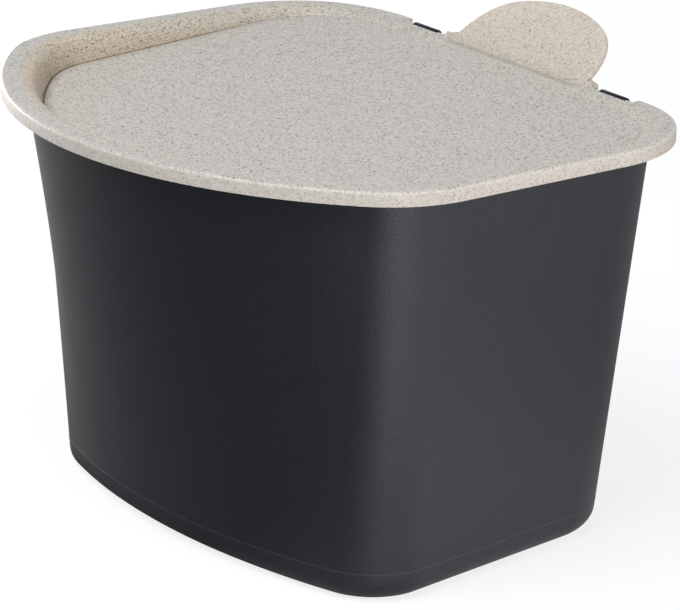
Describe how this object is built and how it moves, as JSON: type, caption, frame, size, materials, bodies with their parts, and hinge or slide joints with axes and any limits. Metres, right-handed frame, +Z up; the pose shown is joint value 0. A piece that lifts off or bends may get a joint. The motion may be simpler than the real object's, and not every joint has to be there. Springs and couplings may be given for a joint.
{
  "type": "compost caddy with hinged lid",
  "caption": "Bow-fronted kitchen compost caddy: a tapered black bin with a pale speckled lid that has a sunken top and a thumb tab, hinged at the back on two pins.",
  "frame": {"origin": "the middle of the base, on the surface the caddy stands on", "axes": "+X along the hinge, across the width; +Y from the bowed front to the hinge; +Z up"},
  "size_m": [0.2352, 0.2115, 0.1659],
  "materials": {
    "bin": "fine matte moulding texture",
    "lid": "matte with fine dark speckles",
    "pin": "plain matte, the colour of the lid"
  },
  "bodies": {
    "container": {"container": "bin", "hinge_knuckle_left": "bin", "hinge_knuckle_right": "bin"},
    "lid": {"lid": "lid", "hinge_pin_left": "pin", "hinge_pin_right": "pin"}
  },
  "joints": [
    {"name": "lid_hinge", "type": "hinge", "parent": "container", "child": "lid", "pos_m": [0, 0.078, 0.1474], "axis": [-1, 0, 0], "range_deg": [0, 105]}
  ]
}
